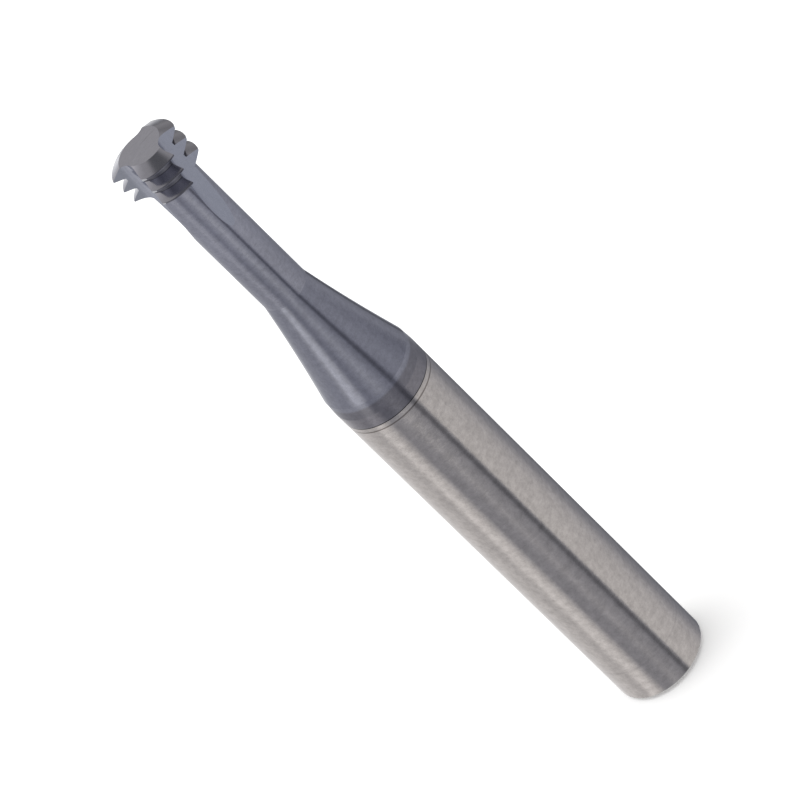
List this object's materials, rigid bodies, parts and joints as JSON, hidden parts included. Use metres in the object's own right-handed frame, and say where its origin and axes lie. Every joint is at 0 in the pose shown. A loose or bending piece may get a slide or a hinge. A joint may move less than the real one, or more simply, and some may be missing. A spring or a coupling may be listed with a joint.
{
  "type": "thread mill",
  "caption": "Solid carbide thread mill: a ground round shank tapering to a slim coated neck and a short fluted head with rings of pointed 60 degree teeth, for milling internal threads.",
  "frame": {"origin": "centre of the rear face of the shank, the face the tool stands on", "axes": "+Z along the tool axis from the rear face of the shank to the cutting head; +X lies across the tool in the picture, and the picture's camera is on the -Y side"},
  "size_m": [0.006, 0.006, 0.05],
  "materials": {
    "ground_carbide": "cylindrically ground tungsten carbide, bare, satin, on the shank behind the coating edge",
    "coated_carbide": "thin hard blue-grey coating over ground tungsten carbide, satin, on the taper, neck and cutting head"
  },
  "bodies": {
    "root": {"thread_mill": "ground_carbide"}
  },
  "joints": []
}
